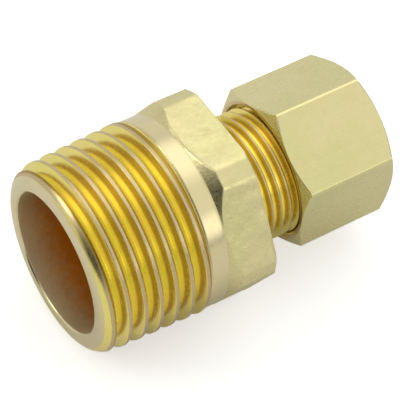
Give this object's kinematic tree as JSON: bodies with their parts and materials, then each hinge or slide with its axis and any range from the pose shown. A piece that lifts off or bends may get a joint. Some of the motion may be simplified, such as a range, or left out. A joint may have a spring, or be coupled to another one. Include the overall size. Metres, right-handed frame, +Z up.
{
  "type": "compression tube fitting",
  "caption": "Straight brass connector: tapered male pipe thread with hex at one end, compression joint with sleeve and hex nut for tube at the other.",
  "frame": {"origin": "on the axis of the fitting, in the plane of the pipe-thread end face", "axes": "+X along the axis from the pipe-thread end towards the nut and the tube; +Z up, with one flat of the body hex facing -Z; +Y completes a right-handed frame"},
  "size_m": [0.0366, 0.0232, 0.0216],
  "materials": {
    "brass_body": "turned and forged, bright",
    "brass_nut": "drawn hex bar, bright",
    "brass_sleeve": "turned, bright"
  },
  "bodies": {
    "fitting": {"fitting_body": "brass_body"},
    "sleeve_carrier": {"sleeve": "brass_sleeve"},
    "nut": {"compression_nut": "brass_nut"}
  },
  "joints": [
    {"name": "nut_travel", "type": "slide", "parent": "fitting", "child": "sleeve_carrier", "axis": [1, 0, 0], "range_m": [-0.00106, 0.00529]},
    {"name": "nut_turn", "type": "hinge", "parent": "sleeve_carrier", "child": "nut", "pos_m": [0.0308, 0, 0], "axis": [1, 0, 0], "range_deg": [-360, 1800]}
  ],
  "couplings": [
    {"joint": "nut_travel", "follows": "nut_turn", "m_per_rad": 0.00016844}
  ]
}
